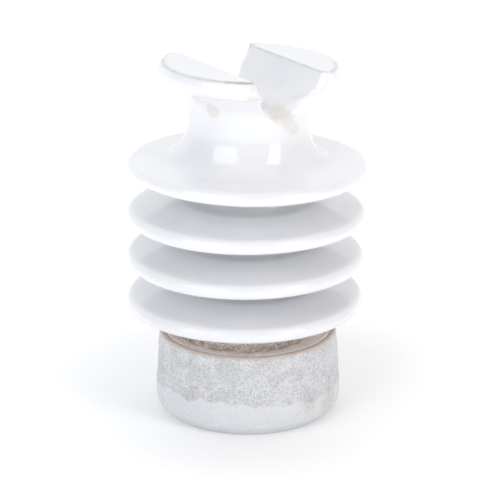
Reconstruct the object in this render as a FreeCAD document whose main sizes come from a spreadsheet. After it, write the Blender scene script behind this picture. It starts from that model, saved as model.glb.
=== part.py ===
import FreeCAD, Part
import math
import os

import Sketcher

# Tie-top line post insulator: glazed porcelain cemented into a cast-iron cup. Millimetres, +Z up.
# The origin is the centre of the base's underside. The conductor groove runs along X.

SIZES = {
    # base cup, a tapered casting with a blind tapped hole for the mounting stud
    "base_height": 52.3,
    "base_top_radius": 55.6,
    "base_taper": 2.9,
    "base_corner_width": 6.2,
    "base_corner_height": 7.5,
    "base_corner_round": 9.0,
    "base_rim_round": 1.2,
    "base_floor": 22.0,
    "stud_web": 4.0,
    # socket inside the cup, with ring grooves that key the cement
    "rim_wall": 2.8,
    "key_margin": 4.0,
    "key_width": 3.0,
    "key_depth": 1.2,
    # layers between the iron and the porcelain
    "bitumen_thickness": 0.4,
    "sand_thickness": 1.0,
    "cushion_thickness": 2.5,
    "cement_edge_drop": 0.6,
    "cement_slope": 1.6,
    "bitumen_show": 1.5,
    "sand_show": 9.0,
    # shank, core and sheds
    "shank_radius": 41.0,
    "core_step": 3.7,
    "shed_radius": 73.7,
    "shed_tip_round": 4.5,
    "shed_top_rise": 6.5,
    "shed_under_rise": 1.4,
    "shed_root_round": 5.5,
    "first_shed_gap": 19.3,
    "shed_pitch": 27.75,
    "top_shed_pitch": 29.8,
    # neck, flared down on to the top shed and up under the head
    "neck_radius": 37.3,
    "neck_foot_flare": 16.7,
    "neck_foot_rise": 0.7,
    "neck_flare_height": 23.4,
    "neck_straight": 8.5,
    # head: a hollow undercut, a rounded lip and a rounded shoulder up to the flat face
    "undercut_height": 23.0,
    "head_radius": 55.2,
    "head_lip_round": 7.0,
    "head_shoulder": 5.0,
    "head_face_inset": 2.7,
    # conductor groove across the head, flared at both ends
    "groove_radius": 25.6,
    "groove_axis_rise": 6.0,
    "groove_straight": 33.5,
    "groove_flare": 15.0,
    "groove_overrun": 14.0,
    "groove_exit_round": 3.5,
}
SHED_COUNT = 4
KEY_COUNT = 3


class Size:
    """A number, and the spreadsheet expression that gives it."""

    def __init__(self, number, expression):
        self.number = number
        self.expression = expression

    def __add__(self, other):
        return Size(self.number + other.number, f"({self.expression} + {other.expression})")

    def __sub__(self, other):
        return Size(self.number - other.number, f"({self.expression} - {other.expression})")

    def __mul__(self, other):
        return Size(self.number * other.number, f"({self.expression} * {other.expression})")

    def __truediv__(self, other):
        return Size(self.number / other.number, f"({self.expression} / {other.expression})")

    def __neg__(self):
        return Size(-self.number, f"(-{self.expression})")


def plain(number):
    """A pure number, such as a count."""
    return Size(float(number), str(number))


ZERO = plain(0)
ONE = plain(1)
TWO = plain(2)
DIAGONAL = plain(math.cos(math.radians(45)))
doc = FreeCAD.newDocument("line_post_insulator")


def makeSheet():
    """Fills the spreadsheet and returns each size under its name."""
    sheet = doc.addObject("Spreadsheet::Sheet", "Sizes")
    found = {}
    for row, (name, value) in enumerate(SIZES.items(), start=1):
        sheet.set(f"A{row}", name)
        sheet.set(f"B{row}", str(value))
        sheet.setAlias(f"B{row}", name)
        found[name] = Size(float(value), f"Sizes.{name}")
    doc.recompute()
    return found


size = makeSheet()


# ---- sketching -------------------------------------------------------------------------------------


def originPlane(body, role):
    """The body's own origin plane with this role."""
    return next(plane for plane in body.Origin.OriginFeatures if plane.Role == role)


def newSketch(body, name, role="XZ_Plane", lift=None):
    """A sketch on an origin plane; lift moves it along the sketch's own Y axis."""
    sketch = body.newObject("Sketcher::SketchObject", name)
    sketch.AttachmentSupport = [(originPlane(body, role), "")]
    sketch.MapMode = "FlatFace"
    if lift is not None:
        sketch.setExpression("AttachmentOffset.Base.y", lift.expression)
    doc.recompute()
    return sketch


def arcBetween(start, end, radius, side):
    """An arc of this radius from start to end, and whether it runs start to end. side +1 bulges right."""
    chord = end - start
    middle = (start + end) * 0.5
    reach = math.sqrt(max(radius**2 - (chord.Length / 2) ** 2, 0.0))
    across = FreeCAD.Vector(-chord.y, chord.x, 0).normalize()
    centre = middle + across * reach * side
    first, last = (start, end) if side > 0 else (end, start)
    angles = [math.atan2(point.y - centre.y, point.x - centre.x) for point in (first, last)]
    circle = Part.Circle(centre, FreeCAD.Vector(0, 0, 1), radius)
    return Part.ArcOfCircle(circle, angles[0], angles[1]), side > 0


def placePoint(sketch, edge, end, x, y):
    """Holds one end of an edge at x, y with expressions from the sheet."""
    for kind, axis, amount in (("DistanceX", -2, x), ("DistanceY", -1, y)):
        if amount is ZERO:
            sketch.addConstraint(Sketcher.Constraint("PointOnObject", edge, end, axis))
            continue
        length = amount if amount.number >= 0 else -amount
        pair = (-1, 1, edge, end) if amount.number >= 0 else (edge, end, -1, 1)
        index = sketch.addConstraint(Sketcher.Constraint(kind, *pair, length.number))
        sketch.setExpression(f"Constraints[{index}]", length.expression)


def drawLoop(sketch, corners):
    """Draws a closed outline. A corner is (x, y), or (x, y, radius, side) where an arc leaves it."""
    points = [FreeCAD.Vector(corner[0].number, corner[1].number, 0) for corner in corners]
    ends = []
    for index, corner in enumerate(corners):
        start, finish = points[index], points[(index + 1) % len(points)]
        if len(corner) == 2:
            edge = sketch.addGeometry(Part.LineSegment(start, finish), False)
            ends.append((edge, 1, 2))
            continue
        arc, forward = arcBetween(start, finish, corner[2].number, corner[3])
        edge = sketch.addGeometry(arc, False)
        ends.append((edge, 1, 2) if forward else (edge, 2, 1))
    for index, (edge, first, last) in enumerate(ends):
        following = ends[(index + 1) % len(ends)]
        sketch.addConstraint(Sketcher.Constraint("Coincident", edge, last, following[0], following[1]))
        placePoint(sketch, edge, first, corners[index][0], corners[index][1])
        if len(corners[index]) > 2:
            radius = corners[index][2]
            held = sketch.addConstraint(Sketcher.Constraint("Radius", edge, radius.number))
            sketch.setExpression(f"Constraints[{held}]", radius.expression)
    doc.recompute()


def newBody(label):
    body = doc.addObject("PartDesign::Body", label)
    body.Label = label
    return body


def revolve(body, name, corners, kind="PartDesign::Revolution", axis="V_Axis", lift=None):
    """Turns a closed outline through a full turn, as a Revolution or a Groove."""
    sketch = newSketch(body, f"{name}_outline", lift=lift)
    drawLoop(sketch, corners)
    feature = body.newObject(kind, name)
    feature.Profile = sketch
    feature.ReferenceAxis = (sketch, [axis])
    feature.Angle = 360
    doc.recompute()
    return feature


def roundEdges(body, name, radius, wanted):
    """Rounds the edges of the body's last feature that wanted accepts."""
    base = body.Tip
    names = [f"Edge{i}" for i, edge in enumerate(base.Shape.Edges, start=1) if wanted(edge)]
    feature = body.newObject("PartDesign::Fillet", name)
    feature.Base = (base, names)
    feature.setExpression("Radius", radius.expression)
    doc.recompute()
    return feature


def mustCut(body, before):
    """Stops the build if the body's last feature removed nothing."""
    if body.Shape.Volume >= before - 1.0:
        raise RuntimeError(f"{body.Tip.Name} cut nothing from {body.Label}")


def isRing(edge, radius, height):
    """True for a level circle of this radius at this height."""
    if edge.Curve.TypeId != "Part::GeomCircle":
        return False
    centre = edge.Curve.Center
    return abs(edge.Curve.Radius - radius) < 0.01 and abs(centre.z - height) < 0.01


# ---- heights that several pieces share --------------------------------------------------------------

socketFloor = size["base_floor"]
rimHeight = size["base_height"]
socketRadius = size["base_top_radius"] - size["rim_wall"]
keyRoom = rimHeight - socketFloor - size["key_margin"] * TWO - size["key_width"]
keyPitch = keyRoom / plain(KEY_COUNT - 1)
coreRadius = size["shank_radius"] - size["core_step"]
shankBottom = socketFloor + size["cushion_thickness"]
layeredRadius = size["shank_radius"] + size["sand_thickness"] + size["bitumen_thickness"]
cementEdge = rimHeight - size["cement_edge_drop"]
cementInner = cementEdge - size["cement_slope"]


def shedHeight(number):
    """Height of a shed's tip centre, counted from the lowest."""
    height = rimHeight + size["first_shed_gap"] + size["shed_pitch"] * plain(min(number, SHED_COUNT - 2))
    return height + size["top_shed_pitch"] if number == SHED_COUNT - 1 else height


topShed = shedHeight(SHED_COUNT - 1)
neckFoot = topShed + size["shed_tip_round"] + size["neck_foot_rise"]
neckFootRadius = size["neck_radius"] + size["neck_foot_flare"]
throatBottom = neckFoot + size["neck_flare_height"]
throatTop = throatBottom + size["neck_straight"]
bulge = throatTop + size["undercut_height"]
headTop = bulge + size["head_shoulder"]
sandTop = rimHeight + size["sand_show"]
bitumenTop = rimHeight + size["bitumen_show"]


# ---- base casting -----------------------------------------------------------------------------------


def socketWall(inset):
    """The keyed socket wall from the top down, moved in from the iron by inset."""
    radius = socketRadius - inset
    keyRadius = radius + size["key_depth"]
    corners = []
    for number in reversed(range(KEY_COUNT)):
        bottom = socketFloor + size["key_margin"] + keyPitch * plain(number)
        top = bottom + size["key_width"]
        corners += [
            (radius, top - inset),
            (keyRadius, top - inset),
            (keyRadius, bottom + inset),
            (radius, bottom + inset),
        ]
    return corners


def makeBaseCasting():
    body = newBody("base_casting")
    topRadius = size["base_top_radius"]
    widest = topRadius + size["base_taper"]
    revolve(
        body,
        "cup",
        [
            (ZERO, ZERO),
            (widest - size["base_corner_width"], ZERO, size["base_corner_round"], 1),
            (widest, size["base_corner_height"]),
            (topRadius, rimHeight),
            (ZERO, rimHeight),
        ],
    )
    mouth = rimHeight + size["base_rim_round"]
    before = body.Shape.Volume
    revolve(
        body,
        "socket",
        [(ZERO, mouth), (socketRadius, mouth)]
        + socketWall(ZERO)
        + [(socketRadius, socketFloor), (ZERO, socketFloor)],
        kind="PartDesign::Groove",
    )
    mustCut(body, before)
    rim = (topRadius.number, rimHeight.number)
    roundEdges(body, "rim_round", size["base_rim_round"], lambda edge: isRing(edge, *rim))

    sketch = newSketch(body, "stud_hole_centre", role="XY_Plane")
    circle = Part.Circle(FreeCAD.Vector(0, 0, 0), FreeCAD.Vector(0, 0, 1), 5.0)
    sketch.addGeometry(circle, False)
    sketch.addConstraint(Sketcher.Constraint("Coincident", 0, 3, -1, 1))
    doc.recompute()
    hole = body.newObject("PartDesign::Hole", "stud_hole")
    hole.Profile = sketch
    doc.recompute()
    hole.ThreadType = "UNC"
    hole.ThreadSize = "3/4"
    hole.Threaded = True
    hole.DepthType = "Dimension"
    hole.setExpression("Depth", (socketFloor - size["stud_web"]).expression)
    hole.DrillPoint = "Flat"
    hole.Reversed = True
    before = body.Shape.Volume
    doc.recompute()
    mustCut(body, before)
    print(f"stud hole: {hole.ThreadSize} {hole.ThreadType}, wall diameter {hole.Diameter}")


# ---- layers around the shank ------------------------------------------------------------------------


def sleeve(label, inner, thickness, bottom, top):
    """A plain tube."""
    body = newBody(label)
    outer = inner + thickness
    revolve(body, "tube", [(inner, bottom), (outer, bottom), (outer, top), (inner, top)])
    return body


def makeLayers():
    coat = size["bitumen_thickness"]
    shank = size["shank_radius"]
    sleeve("shank_sand_band", shank, size["sand_thickness"], shankBottom, sandTop)
    sleeve("shank_bitumen_coat", shank + size["sand_thickness"], coat, shankBottom, bitumenTop)

    cushion = newBody("shank_end_cushion")
    outer = layeredRadius
    revolve(
        cushion,
        "disc",
        [(ZERO, socketFloor), (outer, socketFloor), (outer, shankBottom), (ZERO, shankBottom)],
    )

    wall = socketRadius
    lining = newBody("socket_bitumen_coat")
    inside = list(reversed(socketWall(coat)))
    revolve(
        lining,
        "lining",
        [(wall, cementEdge)]
        + socketWall(ZERO)
        + [(wall, socketFloor), (wall - coat, socketFloor)]
        + inside
        + [(wall - coat, cementEdge)],
    )

    cement = newBody("cement_grout")
    revolve(
        cement,
        "fill",
        [(layeredRadius, cementInner), (wall - coat, cementEdge)]
        + socketWall(coat)
        + [(wall - coat, socketFloor), (layeredRadius, socketFloor)],
    )


# ---- porcelain --------------------------------------------------------------------------------------


def shedCorners(number):
    """A shed's outline from its root under the shed, round the tip, to its root on top."""
    centre = shedHeight(number)
    tip = size["shed_tip_round"]
    tipRadius = size["shed_radius"] - tip
    root = coreRadius
    under = (root, centre - tip + size["shed_under_rise"])
    below = (tipRadius, centre - tip, tip, 1)
    outside = (size["shed_radius"], centre, tip, 1)
    above = (tipRadius, centre + tip)
    top = (root, centre + tip + size["shed_top_rise"])
    if number == SHED_COUNT - 1:
        return [under, below, outside, above]
    return [under, below, outside, above, top]


def arcRadius(width, height):
    """Radius of an arc that starts upright and moves this far across and this far up."""
    return (width * width + height * height) / (TWO * width)


def headCorners():
    """Neck, undercut and head from the top shed's upper face to the flat top."""
    neck, head, lip = size["neck_radius"], size["head_radius"], size["head_lip_round"]

    # the flare is a wide arc above and a tighter one below, which meet at 45 degrees
    across, up = size["neck_foot_flare"], size["neck_flare_height"]
    share = ONE - DIAGONAL
    wide = (across * share - up * DIAGONAL) / (ONE - TWO * DIAGONAL)
    tight = (up * share - across * DIAGONAL) / (ONE - TWO * DIAGONAL)
    turn = (neckFootRadius - tight * DIAGONAL, neckFoot + tight * share)

    # the hollow undercut and the rounded lip are two arcs that meet at one slope
    spread = arcRadius(head - neck, size["undercut_height"])
    hollow = spread - lip
    slopeAcross = (head - lip - neck - hollow) / spread
    slopeUp = size["undercut_height"] / spread
    meeting = (neck + hollow + hollow * slopeAcross, throatTop + hollow * slopeUp)

    shoulder = arcRadius(size["head_face_inset"], size["head_shoulder"])
    return [
        (neckFootRadius, neckFoot, tight, -1),
        (*turn, wide, -1),
        (neck, throatBottom),
        (neck, throatTop, hollow, -1),
        (*meeting, lip, 1),
        (head, bulge, shoulder, 1),
        (head - size["head_face_inset"], headTop),
        (ZERO, headTop),
    ]


def cutConductorGroove(body):
    """Cuts a round-bottomed groove across the head, flared like a bell mouth at both ends."""
    radius, straight, flare = size["groove_radius"], size["groove_straight"], size["groove_flare"]
    flareEnd = straight + flare
    mouth = radius + flare
    past = size["head_radius"] + size["groove_overrun"]
    before = body.Shape.Volume
    revolve(
        body,
        "conductor_groove",
        [
            (-past, ZERO),
            (past, ZERO),
            (past, mouth),
            (flareEnd, mouth, flare, -1),
            (straight, radius),
            (-straight, radius, flare, -1),
            (-flareEnd, mouth),
            (-past, mouth),
        ],
        kind="PartDesign::Groove",
        axis="H_Axis",
        lift=headTop + size["groove_axis_rise"],
    )
    mustCut(body, before)


def isGrooveExit(edge, top):
    """True where the flared groove breaks out through the side of the head, below its face."""
    return edge.Curve.TypeId == "Part::GeomBSplineCurve" and edge.BoundBox.ZMin < top - 0.1


def makePorcelain():
    body = newBody("porcelain_body")
    shank = size["shank_radius"]
    corners = [(ZERO, shankBottom), (shank, shankBottom), (shank, sandTop), (coreRadius, sandTop)]
    for number in range(SHED_COUNT):
        corners += shedCorners(number)
    revolve(body, "turned_form", corners + headCorners())

    roots = []
    for number in range(SHED_COUNT):
        outline = shedCorners(number)
        roots += [corner[1].number for corner in outline if corner[0] is coreRadius]
    roundEdges(
        body,
        "shed_roots",
        size["shed_root_round"],
        lambda edge: any(isRing(edge, coreRadius.number, height) for height in roots),
    )
    cutConductorGroove(body)

    top = headTop.number
    roundEdges(body, "groove_exits", size["groove_exit_round"], lambda edge: isGrooveExit(edge, top))


makeBaseCasting()
makeLayers()
makePorcelain()
doc.recompute()

# ---- checks and output ------------------------------------------------------------------------------

for item in doc.Objects:
    if "Invalid" in item.State or "Error" in item.State:
        raise RuntimeError(f"{item.Name} did not build: {item.State}")

bodies = [item for item in doc.Objects if item.TypeId == "PartDesign::Body"]
for body in bodies:
    if body.Shape.isNull() or not body.Shape.isValid():
        raise RuntimeError(f"{body.Label} has no valid shape")

os.makedirs("parts", exist_ok=True)
for body in bodies:
    body.Shape.exportStep(os.path.join("parts", f"{body.Label}.step"))
    print(f"{body.Label}: {body.Shape.Volume / 1000:.1f} cm3, {len(body.Shape.Solids)} solid")
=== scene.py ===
import math

import bpy
import numpy as np
from mathutils import Matrix, Vector, noise


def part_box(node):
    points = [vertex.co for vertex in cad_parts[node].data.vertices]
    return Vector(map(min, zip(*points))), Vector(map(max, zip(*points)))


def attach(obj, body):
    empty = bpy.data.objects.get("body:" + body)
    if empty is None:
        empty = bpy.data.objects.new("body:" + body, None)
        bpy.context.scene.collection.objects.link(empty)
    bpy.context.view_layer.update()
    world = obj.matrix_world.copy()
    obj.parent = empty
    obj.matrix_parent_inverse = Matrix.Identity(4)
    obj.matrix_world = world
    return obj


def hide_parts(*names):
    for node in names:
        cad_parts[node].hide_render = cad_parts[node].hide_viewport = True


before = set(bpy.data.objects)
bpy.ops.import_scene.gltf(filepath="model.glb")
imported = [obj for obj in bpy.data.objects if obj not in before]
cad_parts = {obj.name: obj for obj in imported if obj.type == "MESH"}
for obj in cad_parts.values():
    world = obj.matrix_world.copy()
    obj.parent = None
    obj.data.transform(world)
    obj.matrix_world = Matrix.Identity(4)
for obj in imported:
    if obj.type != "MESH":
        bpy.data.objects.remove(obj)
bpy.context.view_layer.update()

mm = 0.001
print("frame loaded")


# the mesh helpers work in millimetres

def roundedPath(corners, step=0.7, longStep=4.0):
    # walks through (radius, height, round) corners and turns each corner with a round into an arc
    path = []
    last = len(corners) - 1
    for index, (r, z, rounding) in enumerate(corners):
        here = Vector((r, z))
        if rounding == 0 or index in (0, last):
            path.append(here)
            continue
        before = (Vector(corners[index - 1][:2]) - here).normalized()
        after = (Vector(corners[index + 1][:2]) - here).normalized()
        halfAngle = before.angle(after) / 2
        middle = (before + after).normalized()
        centre = here + middle * (rounding / math.sin(halfAngle))
        start = here + before * (rounding / math.tan(halfAngle)) - centre
        end = here + after * (rounding / math.tan(halfAngle)) - centre
        turn = start.angle_signed(end)
        count = max(3, int(abs(turn) * rounding / step))
        for k in range(count + 1):
            path.append(centre + Matrix.Rotation(-turn * k / count, 2) @ start)
    filled = [path[0]]
    for point in path[1:]:
        gap = (point - filled[-1]).length
        if gap < 1e-4:
            continue
        pieces = max(1, math.ceil(gap / longStep))
        start = filled[-1].copy()
        filled += [start.lerp(point, k / pieces) for k in range(1, pieces + 1)]
    return np.array([tuple(point) for point in filled])


def turnedMesh(path, columns, loop=False):
    # turns a path about the upright axis; an end that lies on the axis closes with a fan
    angles = np.arange(columns) * (2 * math.pi / columns)
    rows = [row for row in path if row[0] > 1e-6]
    points = [(r * math.cos(a), r * math.sin(a), z) for r, z in rows for a in angles]
    faces = []
    bands = len(rows) if loop else len(rows) - 1
    for band in range(bands):
        low, high = band * columns, (band + 1) % len(rows) * columns
        for c in range(columns):
            d = (c + 1) % columns
            faces.append((low + c, low + d, high + d, high + c))
    if not loop and path[0][0] < 1e-6:
        points.append((0, 0, path[0][1]))
        faces += [((c + 1) % columns, c, len(points) - 1) for c in range(columns)]
    if not loop and path[-1][0] < 1e-6:
        points.append((0, 0, path[-1][1]))
        top = (len(rows) - 1) * columns
        faces += [(top + c, top + (c + 1) % columns, len(points) - 1) for c in range(columns)]
    return np.array(points, float), faces


def makePiece(name, points, faces, node, material, pointValues=None):
    mesh = bpy.data.meshes.new(name)
    mesh.from_pydata((points * mm).tolist(), [], [tuple(map(int, face)) for face in faces])
    mesh.validate()
    for label, values in (pointValues or {}).items():
        made = mesh.attributes.new(label, "FLOAT", "POINT")
        made.data.foreach_set("value", np.asarray(values, np.float32))
    mesh.shade_smooth()
    mesh.materials.append(material)
    piece = bpy.data.objects.new(name, mesh)
    bpy.context.scene.collection.objects.link(piece)
    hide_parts(node)
    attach(piece, "root")
    print(f"{name}: {len(points)} points, {len(faces)} faces")
    return piece


def smoothStep(low, high, value):
    t = np.clip((value - low) / (high - low), 0, 1)
    return t * t * (3 - 2 * t)


def lumps(points, size, seed, octaves=3):
    # soft noise, about -1 to 1, at one point per vertex
    shift = Vector((seed * 17.3, seed * 5.1, seed * 9.7))
    return np.array([noise.fractal(Vector(p) / size + shift, 1.0, 2.0, octaves) for p in points])


def addNode(tree, kind, values=None, **options):
    made = tree.nodes.new(kind)
    for option, value in options.items():
        setattr(made, option, value)
    for socket, value in (values or {}).items():
        if isinstance(value, bpy.types.NodeSocket):
            tree.links.new(value, made.inputs[socket])
        else:
            made.inputs[socket].default_value = value
    return made


def newMaterial(name):
    material = bpy.data.materials.new(name)
    material.use_nodes = True
    tree = material.node_tree
    shader = tree.nodes["Principled BSDF"]
    place = addNode(tree, "ShaderNodeTexCoord").outputs["Object"]
    return material, tree, shader, place


def noiseAt(tree, place, size, detail=3.0, roughness=0.55, distortion=0.0):
    # noise whose blobs are about this many millimetres across
    values = {"Vector": place, "Scale": 1000.0 / size, "Detail": detail,
              "Roughness": roughness, "Distortion": distortion}
    return addNode(tree, "ShaderNodeTexNoise", values).outputs[0]


def ramp(tree, value, low, high, lowOut=0.0, highOut=1.0):
    values = {0: value, 1: low, 2: high, 3: lowOut, 4: highOut}
    return addNode(tree, "ShaderNodeMapRange", values, interpolation_type="SMOOTHSTEP").outputs[0]


def math2(tree, operation, first, second):
    return addNode(tree, "ShaderNodeMath", {0: first, 1: second}, operation=operation).outputs[0]


def blendColour(tree, amount, first, second):
    values = {0: amount, 6: first, 7: second}
    return addNode(tree, "ShaderNodeMix", values, data_type="RGBA").outputs[2]


def spot(tree, place, centre, reach, breakup, raggedness=0.5):
    # 1 near a place on the object, fading to 0 at its reach with a ragged border
    offset = addNode(tree, "ShaderNodeVectorMath", {0: place, 1: Vector(centre) * mm}, operation="SUBTRACT")
    away = addNode(tree, "ShaderNodeVectorMath", {0: offset.outputs[0]}, operation="LENGTH").outputs["Value"]
    share = math2(tree, "DIVIDE", away, reach * mm)
    ragged = math2(tree, "MULTIPLY", math2(tree, "SUBTRACT", breakup, 0.5), raggedness * 2)
    return ramp(tree, math2(tree, "ADD", share, ragged), 1.0, 0.55)


def bumpOn(tree, shader, height, depth, strength=1.0):
    values = {"Height": height, "Distance": depth * mm, "Strength": strength}
    made = addNode(tree, "ShaderNodeBump", values)
    tree.links.new(made.outputs[0], shader.inputs["Normal"])


porcelain = {
    "columns": 288,
    # shank, core and sheds
    "shankRadius": 41.0,
    "shankBottom": 24.5,
    "coreStart": 61.3,
    "coreRadius": 37.3,
    "shedHeights": (71.6, 99.35, 127.1, 156.9),
    "tipRound": 4.5,
    "underRise": 1.4,
    "topRise": 6.5,
    "crownRise": 1.35,
    "crownRadius": 57.0,
    "rootRound": 5.5,
    # neck and head
    "neckRadius": 37.3,
    "footRadius": 54.0,
    "footHeight": 162.1,
    "throatBottom": 185.5,
    "neckRows": (186.3, 187.0, 187.6),
    "throatTop": 194.0,
    "bulgeHeight": 217.0,
    "headRadius": 55.2,
    "lipRound": 7.0,
    "faceInset": 2.7,
    # groove across the head
    "grooveRadius": 25.6,
    "grooveAxisRise": 6.0,
    # the mouth's flare starts further in at the groove's floor than up its walls
    "flareStart": 36.5,
    "flareStartAtFloor": 20.0,
    "flareStartAtOneEar": 44.0,
    "flareRadius": 9.0,
    "flareRadiusAtFloor": 22.0,
    "exitRound": 2.2,
    "faceEdgeRound": 0.9,
    # width of the painted reflection line along the crisp edges of the head's face
    "edgeReflectionWidth": 0.75,
    # the head is carved on a grid above this height
    "joinHeight": 188.0,
    "cell": 0.6,
}

# the fired body stands a little off the cup's axis and leans, as cemented porcelain does
seating = {
    "leanTowards": math.radians(57.5),
    "offsetAtLowShed": -2.1,
    "leanPerMillimetre": 0.0209,
    "tiltHeights": (60.0, 71.6, 99.35, 127.1, 156.9, 222.0),
    "tilts": (-0.25, -0.25, 0.45, 0.45, 0.8, 1.4),
    "rimWobble": 0.22,
}


def leanOffset(height):
    low = porcelain["shedHeights"][0]
    return seating["offsetAtLowShed"] + (height - low) * seating["leanPerMillimetre"]


def seat(points):
    # leans and warps the fired body a little
    angle = seating["leanTowards"]
    along = np.array([math.cos(angle), math.sin(angle)])
    side = points[:, :2] @ along
    moved = points.copy()
    tilt = np.radians(np.interp(points[:, 2], seating["tiltHeights"], seating["tilts"]))
    moved[:, 2] -= side * np.tan(tilt)
    moved[:, :2] += np.outer(leanOffset(points[:, 2]), along)
    radius = np.hypot(points[:, 0], points[:, 1])
    turn = np.arctan2(points[:, 1], points[:, 0])
    reach = smoothStep(porcelain["coreRadius"], 73, radius) * seating["rimWobble"]
    wave = np.sin(2 * turn + points[:, 2] * 0.07) + 0.6 * np.sin(3 * turn - points[:, 2] * 0.05 + 1.3)
    moved[:, 2] += reach * wave * (points[:, 2] < porcelain["throatBottom"])
    return moved


def shedCorners(height, isTop, rimRadius):
    p = porcelain
    tip = p["tipRound"]
    corners = [
        (p["coreRadius"], height - tip + p["underRise"], p["rootRound"]),
        (rimRadius, height - tip, tip * 0.985),
        (rimRadius, height + tip, tip * 0.985),
    ]
    if isTop:
        return corners
    return corners + [
        (p["crownRadius"], height + tip + p["crownRise"], 60.0),
        (p["coreRadius"], height + tip + p["topRise"], p["rootRound"]),
    ]


def bodyPath():
    p = porcelain
    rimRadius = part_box("porcelain_body")[1].x / mm
    corners = [(0, p["shankBottom"], 0), (p["shankRadius"], p["shankBottom"], 0),
               (p["shankRadius"], p["coreStart"], 0.9), (p["coreRadius"], p["coreStart"], 0)]
    for height in p["shedHeights"]:
        corners += shedCorners(height, height == p["shedHeights"][-1], rimRadius)
    corners.append((p["footRadius"], p["footHeight"], 0))
    path = roundedPath(corners)
    flare = np.radians(np.linspace(0, 90, 40)[1:])
    width = p["footRadius"] - p["neckRadius"]
    rise = p["throatBottom"] - p["footHeight"]
    flareRadii = p["footRadius"] - width * np.sin(flare)
    curve = np.column_stack([flareRadii, p["throatBottom"] - rise * np.cos(flare)])
    straight = [(p["neckRadius"], z) for z in p["neckRows"]]
    return np.vstack([path, curve, straight])


def headRadiusTable():
    # the head's radius at each height: neck, hollow undercut, lip and shoulder
    p = porcelain
    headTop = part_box("porcelain_body")[1].z / mm
    width, rise = p["headRadius"] - p["neckRadius"], p["bulgeHeight"] - p["throatTop"]
    spread = (width ** 2 + rise ** 2) / (2 * width)
    hollow = spread - p["lipRound"]
    hollowCentre = p["neckRadius"] + hollow
    meeting = p["throatTop"] + hollow * rise / spread
    shoulderHeight = headTop - p["bulgeHeight"]
    shoulder = (p["faceInset"] ** 2 + shoulderHeight ** 2) / (2 * p["faceInset"])
    heights = np.arange(p["joinHeight"] - 3, headTop + 3, 0.05)
    inHollow = np.clip(heights - p["throatTop"], 0, hollow * 0.999)
    inLip = np.clip(p["bulgeHeight"] - heights, 0, p["lipRound"])
    inShoulder = np.clip(heights - p["bulgeHeight"], 0, shoulder)
    radii = np.where(
        heights < meeting,
        hollowCentre - np.sqrt(hollow ** 2 - inHollow ** 2),
        p["headRadius"] - p["lipRound"] + np.sqrt(p["lipRound"] ** 2 - inLip ** 2),
    )
    above = p["headRadius"] - shoulder + np.sqrt(shoulder ** 2 - inShoulder ** 2)
    radii = np.where(heights > p["bulgeHeight"], above, radii)
    return heights, radii, np.gradient(radii, heights), headTop


headHeights, headRadii, headSlopes, headTop = headRadiusTable()


def roundMeet(first, second, rounding):
    # where two solids meet, an edge with this rounding
    both = np.hypot(np.maximum(first + rounding, 0), np.maximum(second + rounding, 0))
    return np.minimum(-rounding, np.maximum(first, second)) + both


def grooveGap(x, y, z):
    # how far a point lies inside the flared groove
    p = porcelain
    drop = headTop + p["grooveAxisRise"] - z
    out = np.hypot(y, drop)
    floorShare = smoothStep(0.66, 1.0, drop / np.maximum(out, 1e-6))
    oneEar = smoothStep(4, 20, -y) * (x > 0)
    start = p["flareStart"] + (p["flareStartAtOneEar"] - p["flareStart"]) * oneEar
    start = start + (p["flareStartAtFloor"] - start) * floorShare
    flare = p["flareRadius"] + (p["flareRadiusAtFloor"] - p["flareRadius"]) * floorShare
    past = np.abs(x) - start
    mouth = p["grooveRadius"] + flare
    flared = np.hypot(np.maximum(past, 0), mouth - out) - flare
    return np.where(past <= 0, p["grooveRadius"] - out, np.where(out > mouth, past - flare, flared))


def sideGap(x, y, z):
    radius = np.interp(z, headHeights, headRadii)
    slope = np.interp(z, headHeights, headSlopes)
    return (np.hypot(x, y) - radius) / np.sqrt(1 + slope ** 2)


def headGap(points):
    # below 0 inside the head, above 0 outside it
    x, y, z = points[..., 0], points[..., 1], points[..., 2]
    cut = roundMeet(sideGap(x, y, z), grooveGap(x, y, z), porcelain["exitRound"])
    return roundMeet(cut, z - headTop, porcelain["faceEdgeRound"])


def settle(points, rounds):
    # draws points on to the head's surface
    step = 0.02
    for _ in range(rounds):
        gap = headGap(points)
        changes = [headGap(points + step * axis) - headGap(points - step * axis) for axis in np.eye(3)]
        slope = np.stack(changes, -1) / (2 * step)
        move = gap / np.maximum((slope ** 2).sum(-1), 0.05)
        points = points - np.clip(move, -0.5, 0.5)[:, None] * slope
    return points


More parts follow.
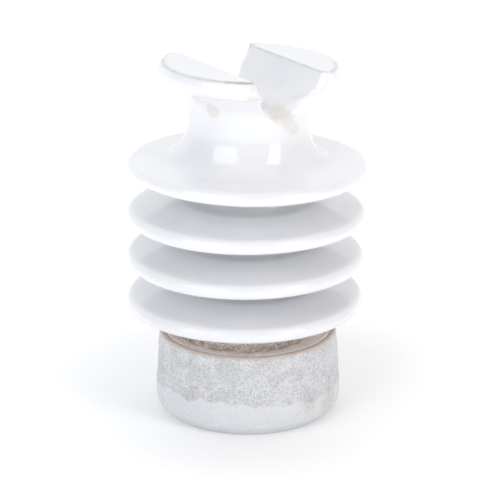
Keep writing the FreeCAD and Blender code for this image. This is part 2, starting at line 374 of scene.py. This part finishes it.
def carveHead():
    # finds the head's surface on a grid: one point per cell that the surface crosses
    p = porcelain
    cell = p["cell"]
    half = math.ceil((p["headRadius"] + 1.5) / cell)
    across = np.arange(-half, half + 1) * cell + cell * 0.37
    up = np.arange(p["joinHeight"], headTop + 2 * cell, cell)
    grid = np.stack(np.meshgrid(across, across, up, indexing="ij"), -1)
    inside = headGap(grid) < 0
    count = sum(
        inside[i:inside.shape[0] - 1 + i, j:inside.shape[1] - 1 + j, k:inside.shape[2] - 1 + k].astype(int)
        for i in (0, 1) for j in (0, 1) for k in (0, 1)
    )
    crossed = (count > 0) & (count < 8)
    number = np.full(crossed.shape, -1)
    number[crossed] = np.arange(crossed.sum())
    points = grid[:-1, :-1, :-1][crossed] + cell / 2

    quads = []
    for axis in range(3):
        second, third = (axis + 1) % 3, (axis + 2) % 3
        turned = np.moveaxis(inside, (axis, second, third), (0, 1, 2))
        cells = np.moveaxis(number, (axis, second, third), (0, 1, 2))
        changes = turned[:-1, 1:-1, 1:-1] != turned[1:, 1:-1, 1:-1]
        leaving = turned[:-1, 1:-1, 1:-1][changes]
        a, b, c = np.nonzero(changes)
        ring = np.stack([cells[a, b, c], cells[a, b + 1, c], cells[a, b + 1, c + 1], cells[a, b, c + 1]], -1)
        quads.append(np.where(leaving[:, None], ring, ring[:, ::-1]))
    quads = np.vstack(quads)

    lowest = number[:, :, 0][crossed[:, :, 0]]
    edges = np.vstack([quads[:, [k, (k + 1) % 4]] for k in range(4)])
    shares = np.bincount(edges.ravel(), minlength=len(points))[:, None]
    points = settle(points, 4)
    for _ in range(4):
        total = np.zeros_like(points)
        np.add.at(total, edges[:, 0], points[edges[:, 1]])
        np.add.at(total, edges[:, 1], points[edges[:, 0]])
        eased = points * 0.4 + total / shares * 0.6
        eased[lowest, 2] = p["joinHeight"] + cell / 2
        points = settle(eased, 2)
        radius = np.hypot(points[lowest, 0], points[lowest, 1])
        points[lowest, :2] *= (p["neckRadius"] / radius)[:, None]
        points[lowest, 2] = p["joinHeight"] + cell / 2
    return points, quads, lowest


def zipLoops(points, lower, upper):
    # joins two level loops of different counts with triangles
    angle = np.arctan2(points[:, 1], points[:, 0])
    lower, upper = lower[np.argsort(angle[lower])], upper[np.argsort(angle[upper])]
    i, j, faces = 0, 0, []
    while i < len(lower) or j < len(upper):
        nextLow = angle[lower[(i + 1) % len(lower)]] + (2 * math.pi if i + 1 >= len(lower) else 0)
        nextHigh = angle[upper[(j + 1) % len(upper)]] + (2 * math.pi if j + 1 >= len(upper) else 0)
        low, high = lower[i % len(lower)], upper[j % len(upper)]
        if j >= len(upper) or (i < len(lower) and nextLow <= nextHigh):
            faces.append((low, lower[(i + 1) % len(lower)], high))
            i += 1
        else:
            faces.append((low, upper[(j + 1) % len(upper)], high))
            j += 1
    return faces


def makePorcelain(material):
    body, bodyFaces = turnedMesh(bodyPath(), porcelain["columns"])
    head, quads, lowest = carveHead()
    ringStart = len(body) - 1 - porcelain["columns"]   # the last point is the shank's centre
    ring = np.arange(ringStart, ringStart + porcelain["columns"])
    points = np.vstack([body, head])
    faces = bodyFaces + (quads + len(body)).tolist()
    faces += zipLoops(points, ring, lowest + len(body))
    # painted reflection: a dark line along the crisp edges of the head's face, fading with the distance from
    # each edge
    x, y, z = points.T
    edgeAway = np.hypot(headTop - z, np.maximum(sideGap(x, y, z), grooveGap(x, y, z)))
    edgeReflection = np.where(z > porcelain["throatTop"], np.exp(-(edgeAway / porcelain["edgeReflectionWidth"]) ** 2), 0)
    return makePiece("porcelain_glazed", seat(points), faces, "porcelain_body",
                     material, {"paintedEdgeReflection": edgeReflection})


glaze = {
    "white": (0.815, 0.816, 0.838, 1),
    "whiteCool": (0.79, 0.797, 0.826, 1),
    # painted reflection: dark grey for the line along the crisp edges of the head's face
    "paintedEdgeLine": (0.42, 0.42, 0.43, 1),
    "stain": (0.66, 0.60, 0.53, 1),
    # painted shade: grey for the recesses where the lower sheds meet the core
    "paintedShadeGrey": (0.47, 0.50, 0.505, 1),
    "paintedShadeRadii": (45 * mm, 38.5 * mm),
    "paintedShadeHeights": (153 * mm, 150 * mm),
    "paintedShadeAmount": (0.62, 0.82),
    "stainDark": (0.36, 0.26, 0.18, 1),
    "stainAmount": (0.15, 0.65),
    "markAmount": 0.55,
    "speckAmount": 0.6,
    "roughness": 0.03,
    "refraction": 1.52,
    "ripple": 0.012,
    # tan stain on one end of the front ear and down from the groove's lip, as (place, reach)
    "washes": (((48, -24, 217), 6), ((47, -25, 213), 6), ((28, -6, 202), 6), ((31, 0, 199), 7),
               ((35, -2, 197), 7), ((36, 4, 195), 7), ((37, 6, 191), 6), ((36, 10, 187), 5)),
    "marks": (((15.5, -34.5, 200), 6), ((-40, 27, 221), 5.0)),
    "brownEdge": ((45, -30, 222), 14),
}


def outwards(tree, place):
    # how far a point is from the upright axis
    level = addNode(tree, "ShaderNodeVectorMath", {0: place, 1: (1, 1, 0)}, operation="MULTIPLY").outputs[0]
    return addNode(tree, "ShaderNodeVectorMath", {0: level}, operation="LENGTH").outputs["Value"]


def upwards(tree, place):
    return addNode(tree, "ShaderNodeSeparateXYZ", {0: place}).outputs["Z"]


def strongestSpot(tree, place, spots, breakup, raggedness):
    strongest = 0.0
    for centre, reach in spots:
        strongest = math2(tree, "MAXIMUM", strongest, spot(tree, place, centre, reach, breakup, raggedness))
    return strongest


def glazedPorcelain():
    g = glaze
    material, tree, shader, place = newMaterial("glazedPorcelain")
    broad = noiseAt(tree, place, 34, 2)
    fine = noiseAt(tree, place, 2.2, 4, 0.65)
    grain = noiseAt(tree, place, 0.7, 3)
    colour = blendColour(tree, ramp(tree, broad, 0.35, 0.65), g["white"], g["whiteCool"])

    wash = strongestSpot(tree, place, g["washes"], noiseAt(tree, place, 3, 6, 0.75, 0.4), 0.9)
    washed = math2(tree, "MULTIPLY", wash, ramp(tree, grain, 0.35, 0.65, *g["stainAmount"]))
    colour = blendColour(tree, washed, colour, g["stain"])
    mark = strongestSpot(tree, place, g["marks"], fine, 0.3)
    colour = blendColour(tree, math2(tree, "MULTIPLY", mark, g["markAmount"]), colour, g["stain"])

    # painted reflection: a broken dark grey line along the crisp edges of the head's face; a brown stain
    # follows it at one end of the front ear
    edgeReflection = addNode(tree, "ShaderNodeAttribute", attribute_name="paintedEdgeReflection").outputs["Fac"]
    broken = math2(tree, "MULTIPLY", edgeReflection, ramp(tree, noiseAt(tree, place, 5, 3), 0.35, 0.6, 0.45, 0.75))
    colour = blendColour(tree, broken, colour, g["paintedEdgeLine"])
    brownEdge = math2(tree, "MULTIPLY", broken, spot(tree, place, *g["brownEdge"], fine, 0.8))
    colour = blendColour(tree, brownEdge, colour, g["stainDark"])

    # painted shade: a grey tint darkens the porcelain where the lower sheds meet the core
    nearCore = ramp(tree, outwards(tree, place), *g["paintedShadeRadii"])
    paintedShade = math2(tree, "MULTIPLY", nearCore, ramp(tree, upwards(tree, place), *g["paintedShadeHeights"]))
    paintedShadeShare = math2(tree, "MULTIPLY", paintedShade, ramp(tree, broad, 0.3, 0.7, *g["paintedShadeAmount"]))
    colour = blendColour(tree, paintedShadeShare, colour, g["paintedShadeGrey"])

    # rare iron specks in the body showing through the glaze
    specks = addNode(tree, "ShaderNodeTexVoronoi", {"Vector": place, "Scale": 105.0}, feature="F1")
    lot = addNode(tree, "ShaderNodeSeparateColor", {0: specks.outputs["Color"]}).outputs[0]
    chosen = ramp(tree, lot, 0.94, 0.95)
    speck = math2(tree, "MULTIPLY", ramp(tree, specks.outputs["Distance"], 0.045, 0.02), chosen)
    colour = blendColour(tree, math2(tree, "MULTIPLY", speck, g["speckAmount"]), colour, g["stainDark"])
    tree.links.new(colour, shader.inputs["Base Color"])

    dull = math2(tree, "ADD", math2(tree, "MULTIPLY", washed, 0.25), math2(tree, "MULTIPLY", grain, 0.02))
    tree.links.new(math2(tree, "ADD", dull, g["roughness"]), shader.inputs["Roughness"])
    shader.inputs["IOR"].default_value = g["refraction"]
    bumpOn(tree, shader, noiseAt(tree, place, 5, 2), g["ripple"])
    return material


makePorcelain(glazedPorcelain())


casting = {
    "columns": 512,
    "topRadius": 55.6,
    "taper": 2.9,
    "cornerWidth": 6.2,
    "cornerHeight": 7.5,
    "floor": 22.0,
    "rimWall": 2.8,
    "rimRound": 1.2,
    "holeRadius": 8.25,
    "holeDepth": 18.0,
    "holeChamfer": 1.2,
    "threadDepth": 1.2,
    "threadPitch": 2.54,
    "keyMargin": 4.0,
    "keyWidth": 3.0,
    "keyDepth": 1.2,
    "keys": 3,
    "roughCast": 0.16,
    "dents": 0.28,
    "rimChips": 0.25,
    "smoothBandHeight": 20.0,
    "bandRidge": 0.18,
    "bandRidgeWidth": 1.1,
}


def castingPath():
    c = casting
    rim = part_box("base_casting")[1].z / mm
    widest = c["topRadius"] + c["taper"]
    socket = c["topRadius"] - c["rimWall"]
    depth, wall = c["holeDepth"], c["holeRadius"]
    hole = roundedPath([(0, depth, 0), (wall, depth, 0), (wall, c["holeChamfer"], 0)], longStep=0.3)
    outside = roundedPath([
        (c["holeRadius"] + c["threadDepth"] + 0.2, 0, 0),
        (widest - c["cornerWidth"], 0, 1.5),
        (widest - 0.9, c["cornerHeight"] * 0.72, 5.5),
        (widest, c["cornerHeight"] + 5, 30.0),
        (c["topRadius"], rim, c["rimRound"]),
        (socket, rim, 0.5),
        (socket, rim - 1.5, 0),
    ], step=0.4, longStep=0.75)
    keys = []
    pitch = (rim - c["floor"] - 2 * c["keyMargin"] - c["keyWidth"]) / (c["keys"] - 1)
    for key in reversed(range(c["keys"])):
        bottom = c["floor"] + c["keyMargin"] + pitch * key
        top = bottom + c["keyWidth"]
        back = socket + c["keyDepth"]
        keys += [(socket, top), (back, top), (back, bottom), (socket, bottom)]
    inside = keys + [(socket, c["floor"]), (0, c["floor"])]
    return np.vstack([hole, outside, inside])


def makeCasting(material):
    c = casting
    points, faces = turnedMesh(castingPath(), c["columns"])
    x, y, z = points.T
    radius, turn = np.hypot(x, y), np.arctan2(y, x)
    outer = smoothStep(c["topRadius"] - 1.6, c["topRadius"] - 0.2, radius)
    smoothEdge = c["smoothBandHeight"] + 2 * np.sin(turn * 2 + 3.2) + 3.5 * lumps(points, 9, 5, 3)
    rough = smoothStep(smoothEdge - 1.0, smoothEdge + 1.0, z)
    clearOfFloor = smoothStep(0.0, 1.5, z)
    grain = lumps(points, 1.5, 1, 3) * c["roughCast"] * (0.25 + 0.75 * rough)
    dents = lumps(points, 13, 2, 3) * c["dents"]
    ridge = c["bandRidge"] * np.exp(-((z - smoothEdge) / c["bandRidgeWidth"]) ** 2)
    out = (grain + dents - 0.15 + ridge) * outer * clearOfFloor

    # the tapped hole's thread climbs with the turn
    inHole = radius < c["holeRadius"] + 0.01
    climb = (z / c["threadPitch"] - turn / (2 * math.pi)) % 1
    ends = smoothStep(c["holeDepth"], c["holeDepth"] - 2, z) * (radius > 1)
    out = np.where(inHole, (1 - np.abs(2 * climb - 1)) * c["threadDepth"] * ends, out)
    safe = np.maximum(radius, 1e-6)
    points[:, 0] += out * x / safe
    points[:, 1] += out * y / safe
    rimTop = (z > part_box("base_casting")[1].z / mm - 1.3) & (radius > c["topRadius"] - c["rimWall"] - 0.5)
    points[:, 2] -= np.where(rimTop, c["rimChips"] * np.abs(lumps(points, 4, 3, 2)), 0)
    return makePiece("base_galvanised", points, faces, "base_casting", material,
                     {"roughArea": rough})


zinc = {
    "pale": (0.74, 0.755, 0.785, 1),
    "mid": (0.545, 0.55, 0.565, 1),
    "dark": (0.38, 0.375, 0.375, 1),
    "rust": (0.42, 0.29, 0.18, 1),
    "rimBrown": (0.53, 0.43, 0.37, 1),
    "rustAmount": 0.35,
    "rustPatches": (((21, -53, 28), 5), ((52, 27, 12), 11), ((57, 8, 16), 6), ((30, 48, 30), 8)),
    "rimBrownHeights": (49.0 * mm, 51.8 * mm),
    "rimBrownAmount": 0.85,
    "metalShine": 0.2,
    "roughness": (0.42, 0.68),
    "bumpDepth": 0.22,
}


def galvanisedIron():
    z = zinc
    material, tree, shader, place = newMaterial("galvanisedIron")
    rough = addNode(tree, "ShaderNodeAttribute", attribute_name="roughArea").outputs["Fac"]
    blotch = noiseAt(tree, place, 11, 4, 0.6, 0.6)
    grain = noiseAt(tree, place, 1.3, 4, 0.7)
    pits = noiseAt(tree, place, 0.9, 2, 0.5)
    dull = ramp(tree, blotch, 0.38, 0.62, 0.25, 0.8)
    dulled = math2(tree, "MULTIPLY", dull, ramp(tree, rough, 0.0, 1.0, 0.15, 1.0))
    colour = blendColour(tree, dulled, z["pale"], z["mid"])
    speckled = math2(tree, "MULTIPLY", ramp(tree, grain, 0.44, 0.66), ramp(tree, rough, 0.0, 1.0, 0.12, 0.7))
    colour = blendColour(tree, speckled, colour, z["dark"])
    light = math2(tree, "MULTIPLY", ramp(tree, pits, 0.54, 0.66), ramp(tree, rough, 0.0, 1.0, 0.1, 0.75))
    colour = blendColour(tree, light, colour, z["pale"])

    scattered = ramp(tree, noiseAt(tree, place, 7, 4, 0.65, 1.0), 0.58, 0.68)
    rusty = math2(tree, "MULTIPLY", scattered, ramp(tree, grain, 0.42, 0.6))
    for centre, reach in z["rustPatches"]:
        patch = spot(tree, place, centre, reach, noiseAt(tree, place, 3, 5, 0.7), 0.8)
        broken = math2(tree, "MULTIPLY", patch, ramp(tree, grain, 0.4, 0.58, 0.1, 0.9))
        rusty = math2(tree, "MAXIMUM", rusty, broken)
    colour = blendColour(tree, math2(tree, "MULTIPLY", rusty, z["rustAmount"]), colour, z["rust"])
    ragged = math2(tree, "MULTIPLY", math2(tree, "SUBTRACT", grain, 0.5), 4 * mm)
    nearRim = ramp(tree, math2(tree, "ADD", upwards(tree, place), ragged), *z["rimBrownHeights"])
    colour = blendColour(tree, math2(tree, "MULTIPLY", nearRim, z["rimBrownAmount"]), colour, z["rimBrown"])
    tree.links.new(colour, shader.inputs["Base Color"])

    metal = ramp(tree, math2(tree, "MAXIMUM", rusty, nearRim), 0.1, 0.6, z["metalShine"], 0.0)
    tree.links.new(metal, shader.inputs["Metallic"])
    tree.links.new(ramp(tree, grain, 0.3, 0.7, *z["roughness"]), shader.inputs["Roughness"])
    bumpOn(tree, shader, math2(tree, "ADD", grain, math2(tree, "MULTIPLY", pits, 0.7)), z["bumpDepth"])
    return material


makeCasting(galvanisedIron())


layers = {
    "columns": 448,
    "inner": 42.4,
    "outer": 52.4,
    "bottom": 22.0,
    "innerTop": 50.3,
    "ridgeTop": 52.0,
    "grit": 0.42,
    "sandOuter": 42.0,
    "sandTop": 61.0,
    "sandGrain": 0.35,
    "sandSeed": 11,
    "bitumenTop": 53.6,
    "coatGrain": 0.08,
    "coatSeed": 13,
    "swell": 0.5,
    "crumble": 0.4,
}

cement = {
    "pinkTan": (0.93, 0.84, 0.79, 1),
    "darkTan": (0.82, 0.72, 0.67, 1),
    "paleGrain": (0.95, 0.90, 0.83, 1),
    "darkGrain": (0.54, 0.44, 0.40, 1),
    # painted highlight: pale colour for the line along the cement's raised outer edge
    "paintedEdgeLine": (0.96, 0.92, 0.86, 1),
    "paintedHighlightRadii": (49.6 * mm, 50.8 * mm),
    "roughness": (0.8, 0.97),
    "bumpDepth": 0.25,
}

coats = {
    "gritDark": (0.44, 0.37, 0.34, 1),
    "gritPale": (0.94, 0.87, 0.82, 1),
    "bitumenDark": (0.36, 0.30, 0.27, 1),
    "bitumenDusty": (0.80, 0.72, 0.66, 1),
    "corkDark": (0.30, 0.19, 0.10, 1),
    "corkPale": (0.52, 0.37, 0.22, 1),
    "corkBark": (0.14, 0.08, 0.045, 1),
    "gritRoughness": (0.85, 0.45),
    "gritBump": 0.5,
    "bitumenRoughness": (0.35, 0.6),
    "bitumenBump": 0.15,
    "corkRoughness": (0.8, 0.95),
    "corkBump": 0.2,
}


def leanLayer(points, inner, outer):
    # follows the shank's lean at the inside and stays true to the cup at the outside
    angle = seating["leanTowards"]
    radius = np.hypot(points[:, 0], points[:, 1])
    share = np.clip((outer - radius) / (outer - inner), 0, 1) if outer > inner else np.ones(len(points))
    amount = leanOffset(points[:, 2]) * share
    points[:, 0] += amount * math.cos(angle)
    points[:, 1] += amount * math.sin(angle)
    return points


def makeCement(material):
    s = layers
    path = roundedPath([
        (s["outer"], s["bottom"], 0),
        (s["outer"], s["ridgeTop"] - 1.2, 0),
        (s["outer"] - 0.3, s["ridgeTop"], 0.3),
        (s["outer"] - 1.4, s["ridgeTop"] - 0.1, 0.8), (s["outer"] - 2.6, s["innerTop"] + 0.7, 1.5),
        (s["inner"], s["innerTop"], 0), (s["inner"], s["bottom"], 0),
    ], step=0.5, longStep=0.6)
    points, faces = turnedMesh(path, s["columns"], loop=True)
    onTop = smoothStep(s["innerTop"] - 2.2, s["innerTop"] - 0.6, points[:, 2])
    bumps = lumps(points, 1.3, 7, 3) * s["grit"] + lumps(points, 9, 8, 2) * s["swell"]
    radius = np.hypot(points[:, 0], points[:, 1])
    keepIn = np.minimum(bumps, s["ridgeTop"] + 0.25 - points[:, 2])
    points[:, 2] += keepIn * onTop
    crumble = smoothStep(s["outer"] - 3, s["outer"], radius) * onTop
    points[:, 2] -= crumble * s["crumble"] * np.maximum(lumps(points, 5, 9, 2), 0)
    points = leanLayer(points, s["inner"], s["outer"])
    return makePiece("cement_sandy", points, faces, "cement_grout", material)


def makeSleeve(name, inner, outer, top, grit, node, material, seed):
    bottom = porcelain["shankBottom"]
    corners = [(inner, bottom, 0), (outer, bottom, 0), (outer, top, 0), (inner, top, 0)]
    path = roundedPath(corners, longStep=0.6)
    points, faces = turnedMesh(path, layers["columns"], loop=True)
    radius = np.hypot(points[:, 0], points[:, 1])
    grain = np.maximum(lumps(points, 1.1, seed, 3), -0.6) * grit * (radius > inner + 0.05)
    points[:, 0] *= 1 + grain / radius
    points[:, 1] *= 1 + grain / radius
    topSide = smoothStep(top - 0.5, top, points[:, 2])
    points[:, 2] += topSide * lumps(points, 2.5, seed + 1, 2) * 0.5
    points = leanLayer(points, 0.0, 0.0)
    return makePiece(name, points, faces, node, material)


def cementMaterial():
    material, tree, shader, place = newMaterial("sandyCement")
    grain = noiseAt(tree, place, 0.8, 4, 0.75)
    patch = noiseAt(tree, place, 8, 3, 0.6, 0.5)
    colour = blendColour(tree, ramp(tree, patch, 0.35, 0.65), cement["pinkTan"], cement["darkTan"])
    pale = math2(tree, "MULTIPLY", ramp(tree, grain, 0.52, 0.66), 0.6)
    colour = blendColour(tree, pale, colour, cement["paleGrain"])
    dark = math2(tree, "MULTIPLY", ramp(tree, grain, 0.44, 0.34), 0.65)
    colour = blendColour(tree, dark, colour, cement["darkGrain"])
    # painted highlight: a pale line along the cement's raised outer edge
    nearEdge = ramp(tree, outwards(tree, place), *cement["paintedHighlightRadii"])
    edge = math2(tree, "MULTIPLY", nearEdge, ramp(tree, grain, 0.4, 0.6, 0.4, 1.0))
    colour = blendColour(tree, edge, colour, cement["paintedEdgeLine"])
    tree.links.new(colour, shader.inputs["Base Color"])
    tree.links.new(ramp(tree, grain, 0.3, 0.7, *cement["roughness"]), shader.inputs["Roughness"])
    bumpOn(tree, shader, grain, cement["bumpDepth"])
    return material


def gritMaterial():
    material, tree, shader, place = newMaterial("firedGrit")
    grain = noiseAt(tree, place, 1.0, 3, 0.7)
    colour = blendColour(tree, ramp(tree, grain, 0.40, 0.62), coats["gritDark"], coats["gritPale"])
    tree.links.new(colour, shader.inputs["Base Color"])
    tree.links.new(ramp(tree, grain, 0.3, 0.7, *coats["gritRoughness"]), shader.inputs["Roughness"])
    bumpOn(tree, shader, grain, coats["gritBump"])
    return material


def bitumenMaterial():
    material, tree, shader, place = newMaterial("bitumenCoat")
    brushed = noiseAt(tree, place, 3, 3, 0.6, 1.2)
    colour = blendColour(tree, ramp(tree, brushed, 0.35, 0.7), coats["bitumenDark"], coats["bitumenDusty"])
    tree.links.new(colour, shader.inputs["Base Color"])
    tree.links.new(ramp(tree, brushed, 0.3, 0.7, *coats["bitumenRoughness"]), shader.inputs["Roughness"])
    bumpOn(tree, shader, brushed, coats["bitumenBump"])
    return material


def corkMaterial():
    material, tree, shader, place = newMaterial("corkCushion")
    crumbs = addNode(tree, "ShaderNodeTexVoronoi", {"Vector": place, "Scale": 450.0}, feature="F1")
    tone = addNode(tree, "ShaderNodeSeparateColor", {0: crumbs.outputs["Color"]}).outputs[0]
    colour = blendColour(tree, tone, coats["corkDark"], coats["corkPale"])
    colour = blendColour(tree, ramp(tree, noiseAt(tree, place, 1.5), 0.6, 0.7), colour, coats["corkBark"])
    tree.links.new(colour, shader.inputs["Base Color"])
    tree.links.new(ramp(tree, tone, 0.0, 1.0, *coats["corkRoughness"]), shader.inputs["Roughness"])
    bumpOn(tree, shader, crumbs.outputs["Distance"], coats["corkBump"])
    return material


makeCement(cementMaterial())
bitumen = bitumenMaterial()
makeSleeve("grit_band", porcelain["shankRadius"], layers["sandOuter"], layers["sandTop"], layers["sandGrain"],
           "shank_sand_band", gritMaterial(), layers["sandSeed"])
makeSleeve("shank_coat", layers["sandOuter"], layers["inner"], layers["bitumenTop"], layers["coatGrain"],
           "shank_bitumen_coat", bitumen, layers["coatSeed"])
for node, material in (("socket_bitumen_coat", bitumen), ("shank_end_cushion", corkMaterial())):
    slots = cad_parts[node].data.materials
    slots.clear()
    slots.append(material)
print("layers made")


studio = {
    "viewAzimuth": math.radians(57.5),
    "viewElevation": math.radians(19.07),
    "distance": 1.2,
    "aim": (0.0013, 0.0, 0.1019),
    "lens": 138.75,
    "floorSize": 16.0,
    "floorGlowNear": 0.12,
    "floorGlowFar": 0.5,
    "floorGlowReach": (0.075, 0.3),
    "floorColour": (0.86, 0.86, 0.86, 1),
    "floorRoughness": 0.6,
    "floorSpecular": 0.2,
    "frontGlow": 0.2,
    "backGlow": 1.2,
    "leftSky": (0.93, 0.97, 1.0, 1),
    "rightSky": (1.0, 0.985, 0.965, 1),
    "lampAim": (0, 0, 0.15),
    # each softbox is placed right of, behind and above the object
    "lamps": {
        "leftBox": {"place": (-1.0, -1.15, 0.96), "size": (1.3, 1.25), "power": 13.6,
                    "colour": (0.97, 0.98, 1.0)},
        "rightBox": {"place": (1.12, -0.95, 0.76), "size": (0.55, 1.35), "power": 10.2,
                     "colour": (1.0, 0.985, 0.97)},
        "highBox": {"place": (0.0, -0.45, 1.9), "size": (1.8, 1.6), "power": 8.0,
                    "colour": (1.0, 0.985, 1.0)},
    },
}


def studioPoint(right, back, up):
    # a place given as right of, behind and above the object, as the camera sees it
    a = studio["viewAzimuth"]
    return Vector((right * math.cos(a) - back * math.sin(a), right * math.sin(a) + back * math.cos(a), up))


def softbox(name, lamp):
    data = bpy.data.lights.new(name, "AREA")
    data.shape = "RECTANGLE"
    data.size, data.size_y = lamp["size"]
    data.energy = lamp["power"]
    data.color = lamp["colour"]
    place = studioPoint(*lamp["place"])
    box = bpy.data.objects.new(name, data)
    box.location = place
    box.rotation_euler = (Vector(studio["lampAim"]) - place).to_track_quat("-Z", "Y").to_euler()
    bpy.context.scene.collection.objects.link(box)


def makeFloor():
    mesh = bpy.data.meshes.new("floor")
    half = studio["floorSize"] / 2
    corners = [(-half, -half, 0), (half, -half, 0), (half, half, 0), (-half, half, 0)]
    mesh.from_pydata(corners, [], [(0, 1, 2, 3)])
    material, tree, shader, place = newMaterial("paleFloor")
    shader.inputs["Base Color"].default_value = studio["floorColour"]
    shader.inputs["Roughness"].default_value = studio["floorRoughness"]
    shader.inputs["Specular IOR Level"].default_value = studio["floorSpecular"]
    shader.inputs["Emission Color"].default_value = (1, 1, 1, 1)
    out = addNode(tree, "ShaderNodeVectorMath", {0: place}, operation="LENGTH").outputs["Value"]
    glow = ramp(tree, out, *studio["floorGlowReach"], studio["floorGlowNear"], studio["floorGlowFar"])
    tree.links.new(glow, shader.inputs["Emission Strength"])
    mesh.materials.append(material)
    floor = bpy.data.objects.new("floor", mesh)
    bpy.context.scene.collection.objects.link(floor)


def makeWorld():
    world = bpy.data.worlds.new("studio")
    bpy.context.scene.world = world
    world.use_nodes = True
    tree = world.node_tree
    place = addNode(tree, "ShaderNodeTexCoord").outputs["Generated"]
    rightwards = {0: place, 1: studioPoint(1, 0, 0)}
    right = addNode(tree, "ShaderNodeVectorMath", rightwards, operation="DOT_PRODUCT")
    side = ramp(tree, right.outputs["Value"], -0.8, 0.8)
    colour = blendColour(tree, side, studio["leftSky"], studio["rightSky"])
    backwards = {0: place, 1: studioPoint(0, 1, 0.2)}
    back = addNode(tree, "ShaderNodeVectorMath", backwards, operation="DOT_PRODUCT")
    background = tree.nodes["Background"]
    tree.links.new(colour, background.inputs["Color"])
    glow = ramp(tree, back.outputs["Value"], 0.0, 0.8, studio["frontGlow"], studio["backGlow"])
    tree.links.new(glow, background.inputs["Strength"])


def makeCamera():
    aim = studioPoint(*studio["aim"])
    away = studio["distance"]
    tilt = studio["viewElevation"]
    place = aim + studioPoint(0, -away * math.cos(tilt), away * math.sin(tilt))
    data = bpy.data.cameras.new("camera")
    data.lens = studio["lens"]
    camera = bpy.data.objects.new("camera", data)
    camera.location = place
    camera.rotation_euler = (aim - place).to_track_quat("-Z", "Y").to_euler()
    bpy.context.scene.collection.objects.link(camera)
    bpy.context.scene.camera = camera


makeFloor()
makeWorld()
makeCamera()
for name, lamp in studio["lamps"].items():
    softbox(name, lamp)
bpy.context.scene.view_settings.view_transform = "Standard"
print("studio made")
